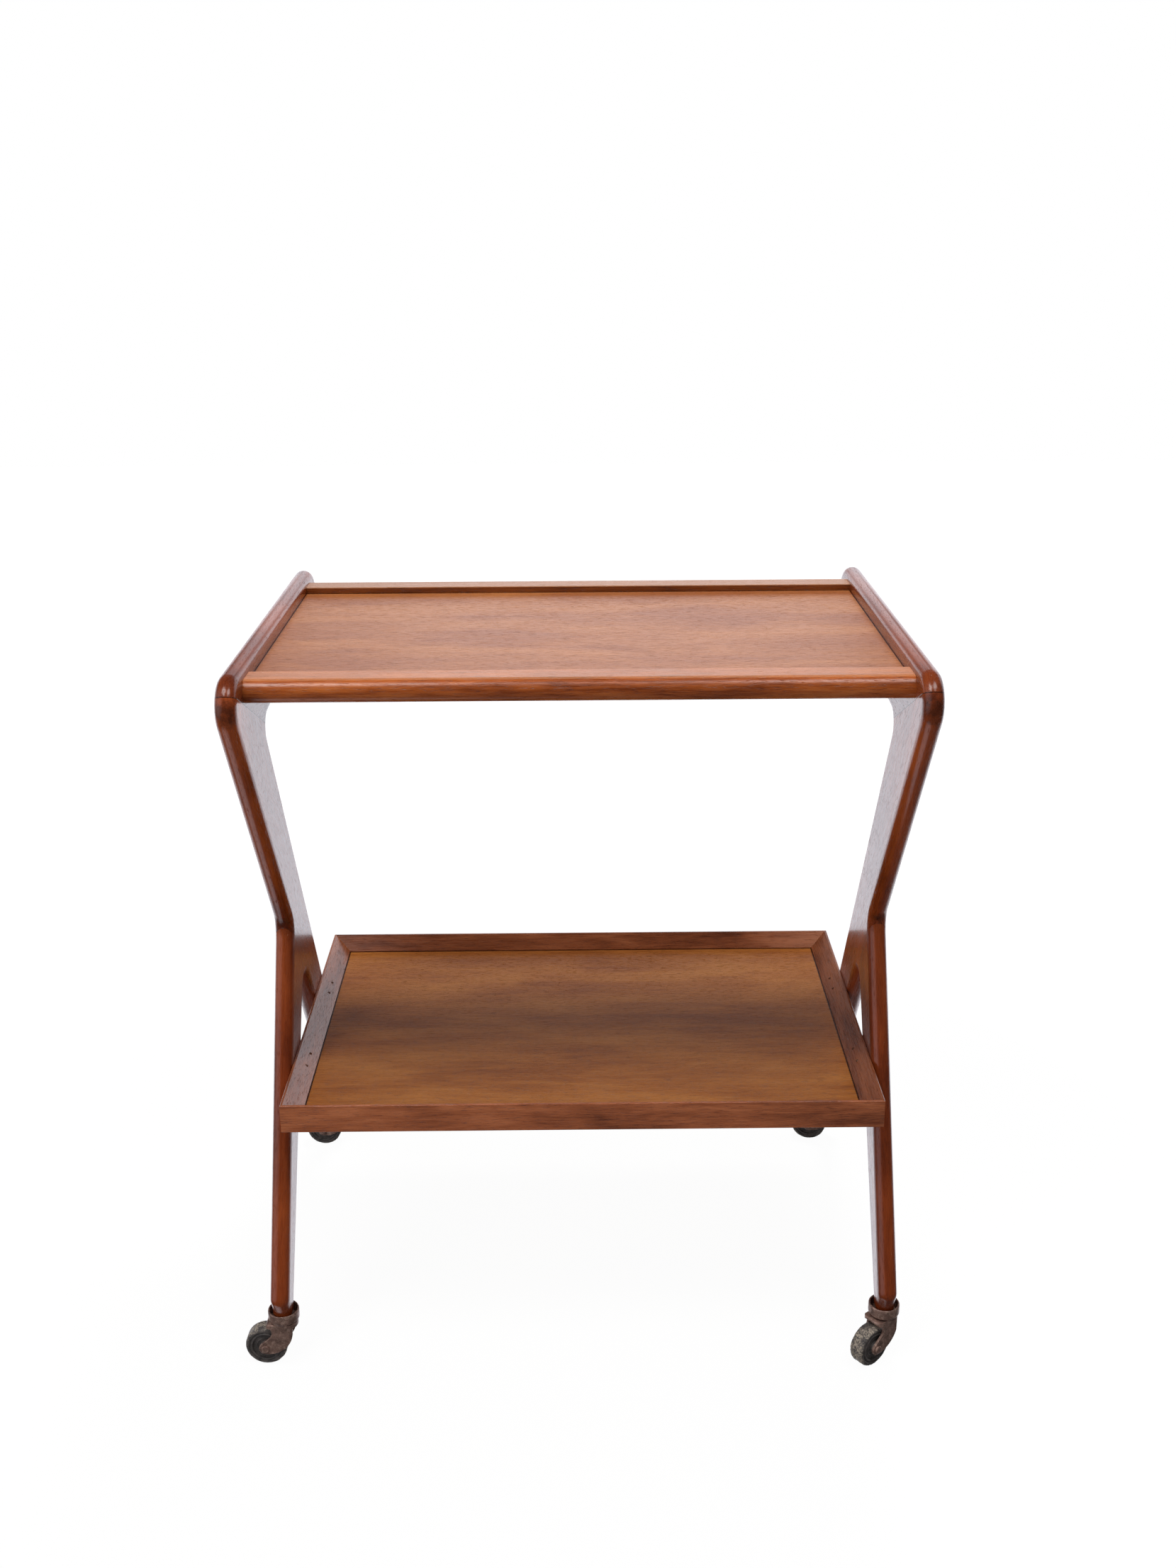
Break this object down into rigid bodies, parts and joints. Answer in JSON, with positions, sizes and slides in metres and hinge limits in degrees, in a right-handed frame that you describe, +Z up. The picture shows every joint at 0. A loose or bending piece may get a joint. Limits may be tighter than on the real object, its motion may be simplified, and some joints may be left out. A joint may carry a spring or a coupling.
{
  "type": "serving trolley",
  "caption": "Timber serving trolley with slanting end frames, an upper tray, a lower tray with a sloping rim, and swivelling cup castors.",
  "frame": {"origin": "on the floor, under the middle of the trolley's box with the castors turned as at rest", "axes": "+X from left to right, +Y from the front, where the diagonals lean out, to the back, +Z up"},
  "size_m": [0.688, 0.4917, 0.758],
  "materials": {
    "frame_wood": "satin",
    "tray_wood": "satin",
    "top_panel_wood": "satin",
    "shelf_panel_wood": "satin",
    "dowel_wood": "matte",
    "castor_metal": "aged, dull",
    "steel": "dull",
    "wheel_rubber": "matte, worn"
  },
  "bodies": {
    "trolley": {"left_top_rail": "frame_wood", "left_rear_leg": "frame_wood", "left_front_leg": "frame_wood", "right_top_rail": "frame_wood", "right_rear_leg": "frame_wood", "right_front_leg": "frame_wood", "mitre_dowels": "dowel_wood", "knee_dowels": "dowel_wood", "top_tray_dowels": "dowel_wood", "cleat_screws": "steel", "shelf_nails": "steel", "top_front_rail": "tray_wood", "top_rear_rail": "tray_wood", "top_panel": "top_panel_wood", "top_left_cleat": "tray_wood", "top_right_cleat": "tray_wood", "shelf_front_rail": "tray_wood", "shelf_rear_rail": "tray_wood", "shelf_left_rail": "tray_wood", "shelf_right_rail": "tray_wood", "shelf_panel": "shelf_panel_wood", "front_left_cup": "castor_metal", "front_left_kingpin": "steel", "front_right_cup": "castor_metal", "front_right_kingpin": "steel", "rear_left_cup": "castor_metal", "rear_left_kingpin": "steel", "rear_right_cup": "castor_metal", "rear_right_kingpin": "steel"},
    "front_left_castor": {"front_left_fork": "castor_metal", "front_left_axle": "castor_metal"},
    "front_left_wheel_body": {"front_left_wheel": "wheel_rubber"},
    "front_right_castor": {"front_right_fork": "castor_metal", "front_right_axle": "castor_metal"},
    "front_right_wheel_body": {"front_right_wheel": "wheel_rubber"},
    "rear_left_castor": {"rear_left_fork": "castor_metal", "rear_left_axle": "castor_metal"},
    "rear_left_wheel_body": {"rear_left_wheel": "wheel_rubber"},
    "rear_right_castor": {"rear_right_fork": "castor_metal", "rear_right_axle": "castor_metal"},
    "rear_right_wheel_body": {"rear_right_wheel": "wheel_rubber"}
  },
  "joints": [
    {"name": "front_left_swivel", "type": "hinge", "parent": "trolley", "child": "front_left_castor", "pos_m": [-0.30225, -0.19988, 0.049], "axis": [0, 0, 1], "continuous": true},
    {"name": "front_left_roll", "type": "hinge", "parent": "front_left_castor", "child": "front_left_wheel_body", "pos_m": [-0.32174, -0.1992, 0.022], "axis": [-0.0349, -0.9994, 0], "continuous": true},
    {"name": "front_right_swivel", "type": "hinge", "parent": "trolley", "child": "front_right_castor", "pos_m": [0.32775, -0.19988, 0.049], "axis": [0, 0, 1], "continuous": true},
    {"name": "front_right_roll", "type": "hinge", "parent": "front_right_castor", "child": "front_right_wheel_body", "pos_m": [0.31238, -0.21188, 0.022], "axis": [0.6157, -0.788, 0], "continuous": true},
    {"name": "rear_left_swivel", "type": "hinge", "parent": "trolley", "child": "rear_left_castor", "pos_m": [-0.30225, 0.22542, 0.049], "axis": [0, 0, 1], "continuous": true},
    {"name": "rear_left_roll", "type": "hinge", "parent": "rear_left_castor", "child": "rear_left_wheel_body", "pos_m": [-0.32171, 0.22678, 0.022], "axis": [-0.0698, -0.9976, 0], "continuous": true},
    {"name": "rear_right_swivel", "type": "hinge", "parent": "trolley", "child": "rear_right_castor", "pos_m": [0.32775, 0.22542, 0.049], "axis": [0, 0, 1], "continuous": true},
    {"name": "rear_right_roll", "type": "hinge", "parent": "rear_right_castor", "child": "rear_right_wheel_body", "pos_m": [0.3086, 0.22914, 0.022], "axis": [-0.1908, -0.9816, 0], "continuous": true}
  ]
}
